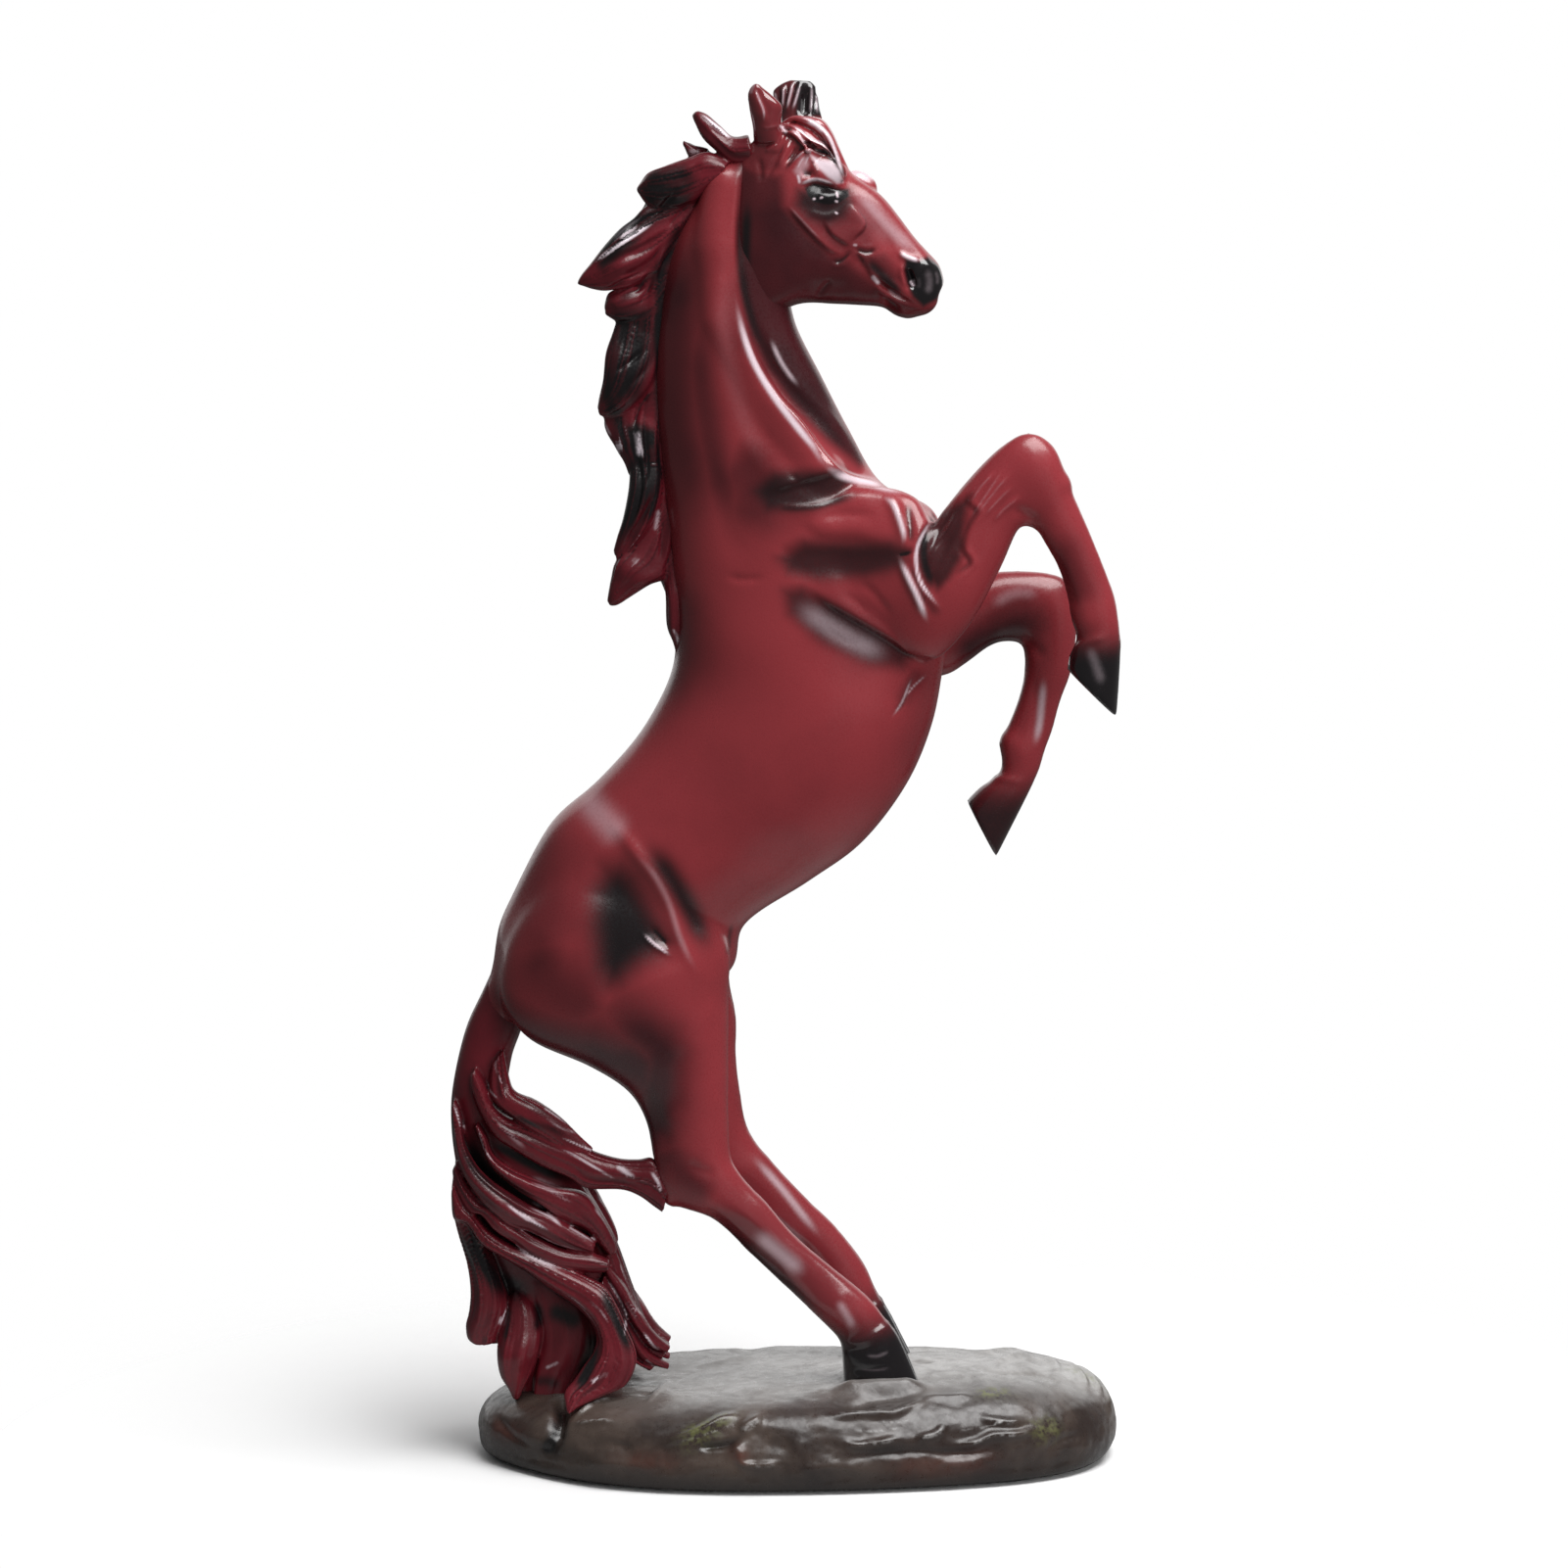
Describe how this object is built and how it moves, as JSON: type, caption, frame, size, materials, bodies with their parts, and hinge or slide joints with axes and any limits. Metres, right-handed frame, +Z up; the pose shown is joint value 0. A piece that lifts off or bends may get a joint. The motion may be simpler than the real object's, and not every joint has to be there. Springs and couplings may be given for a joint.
{
  "type": "rearing horse figurine",
  "caption": "Shelf ornament of a rearing horse in red-brown painted resin, balanced on its hind hooves and tail on a rock plinth with felt feet.",
  "frame": {"origin": "on the table, under the middle of the figurine's box", "axes": "+X the way the horse faces, +Y to the horse's left, +Z up"},
  "size_m": [0.1477, 0.0754, 0.3],
  "materials": {
    "coat": "satin oxblood paint with airbrushed black, on cast resin",
    "hair": "satin dark red paint with black streaks, on cast resin",
    "rock": "semi-gloss grey-brown stone paint on cast resin",
    "felt": "pressed felt",
    "beech": "plain turned dowel",
    "steel": "drawn wire rod"
  },
  "bodies": {
    "root": {"plinth": "rock", "felt_feet": "felt", "trunk": "coat", "head": "coat", "mane": "hair", "right_foreleg": "coat", "left_foreleg": "coat", "right_hind_leg": "coat", "left_hind_leg": "coat", "tail": "hair", "neck_dowel": "beech", "foreleg_dowels": "beech", "thigh_dowels": "beech", "tail_dowel": "beech", "hoof_rods": "steel", "tail_rod": "steel"}
  },
  "joints": []
}
